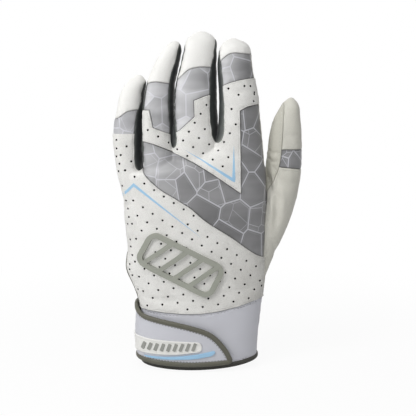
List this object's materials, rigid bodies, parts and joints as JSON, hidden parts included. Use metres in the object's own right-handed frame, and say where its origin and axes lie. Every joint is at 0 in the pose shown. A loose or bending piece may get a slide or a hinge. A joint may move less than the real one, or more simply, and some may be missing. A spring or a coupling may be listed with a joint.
{
  "type": "batting glove",
  "caption": "Left-hand batting glove with perforated overlays, stretch back, hook-and-loop wrist strap and bending fingers.",
  "frame": {"origin": "centre of the box round the glove, at the plane of the hem that it stands on", "axes": "+Z from the cuff to the fingertips, -Y out of the back of the hand, +Y out of the palm, +X towards the thumb"},
  "size_m": [0.1234, 0.0424, 0.2246],
  "materials": {
    "white_leather": "smooth white leather, slightly creased",
    "perforated_leather": "white synthetic leather with a grid of 1 mm holes",
    "palm_leather": "soft off-white leather, fine grain, creased",
    "stretch_fabric": "satin grey stretch fabric with pale printed lines",
    "cuff_knit": "smooth pale lavender-grey laminated knit",
    "side_strip": "dark green-grey knit",
    "binding_tape": "olive-grey woven binding",
    "moulded_rubber": "satin olive-grey moulded rubber",
    "blue_film": "light blue satin film",
    "badge_rubber": "satin white moulded rubber",
    "hook_and_loop": "matt brushed loops and small hooks"
  },
  "bodies": {
    "hand": {"hem_binding": "binding_tape", "slit_binding": "binding_tape", "cuff_back": "cuff_knit", "cuff_palm": "cuff_knit", "back_overlay": "perforated_leather", "stretch_back": "stretch_fabric", "palm_leather": "palm_leather", "thumb_back": "white_leather", "thumb_front": "palm_leather", "thumb_gusset": "palm_leather", "thumb_band": "stretch_fabric", "moulded_pad": "moulded_rubber", "back_stripe": "blue_film", "loop_patch": "hook_and_loop", "strap_root": "cuff_knit"},
    "fingers": {"palm_fingers": "palm_leather", "little_back": "perforated_leather", "knuckle_overlay": "perforated_leather", "knuckle_stretch": "stretch_fabric", "index_side_panel": "stretch_fabric", "ring_stretch": "stretch_fabric", "middle_stretch": "stretch_fabric", "web_little_ring": "side_strip", "web_ring_middle": "side_strip", "web_middle_index": "side_strip", "knuckle_stripe": "blue_film"},
    "little_tip": {"little_band": "stretch_fabric", "little_cap": "white_leather", "little_front": "palm_leather", "little_side": "side_strip"},
    "ring_tip": {"ring_band": "stretch_fabric", "ring_cap": "white_leather", "ring_front": "palm_leather", "ring_side_outer": "side_strip", "ring_side_inner": "side_strip"},
    "middle_tip": {"middle_band": "stretch_fabric", "middle_cap": "white_leather", "middle_front": "palm_leather", "middle_side_outer": "side_strip", "middle_side_inner": "side_strip"},
    "index_tip": {"index_panel": "perforated_leather", "index_band": "stretch_fabric", "index_cap": "white_leather", "index_front": "palm_leather", "index_side": "side_strip"},
    "thumb_tip": {"thumb_cap": "white_leather", "thumb_gusset_tip": "palm_leather", "thumb_tip_front": "palm_leather"},
    "strap": {"strap_web": "cuff_knit", "strap_binding": "binding_tape", "hook_patch": "hook_and_loop", "strap_badge": "badge_rubber", "badge_bar": "blue_film"}
  },
  "joints": [
    {"name": "knuckle_bend", "type": "hinge", "parent": "hand", "child": "fingers", "pos_m": [-0.00747, 0.01377, 0.13687], "axis": [-0.9847, 0, -0.1743], "range_deg": [0, 80]},
    {"name": "little_bend", "type": "hinge", "parent": "fingers", "child": "little_tip", "pos_m": [-0.05162, 0.01261, 0.15797], "axis": [-0.9996, 0, 0.03], "range_deg": [0, 90]},
    {"name": "ring_bend", "type": "hinge", "parent": "fingers", "child": "ring_tip", "pos_m": [-0.03243, 0.01261, 0.17323], "axis": [-0.9982, 0, 0.0599], "range_deg": [0, 90]},
    {"name": "middle_bend", "type": "hinge", "parent": "fingers", "child": "middle_tip", "pos_m": [-0.00747, 0.01261, 0.18351], "axis": [-0.994, 0, 0.1093], "range_deg": [0, 90]},
    {"name": "index_bend", "type": "hinge", "parent": "fingers", "child": "index_tip", "pos_m": [0.02133, 0.01261, 0.178], "axis": [-1, 0, 0], "range_deg": [0, 90]},
    {"name": "thumb_bend", "type": "hinge", "parent": "hand", "child": "thumb_tip", "pos_m": [0.0511, 0.01957, 0.14735], "axis": [-1, 0, 0], "range_deg": [0, 70]},
    {"name": "strap_open", "type": "hinge", "parent": "hand", "child": "strap", "pos_m": [-0.05029, 0.00993, 0.02], "axis": [0, 0, -1], "range_deg": [0, 100]}
  ]
}
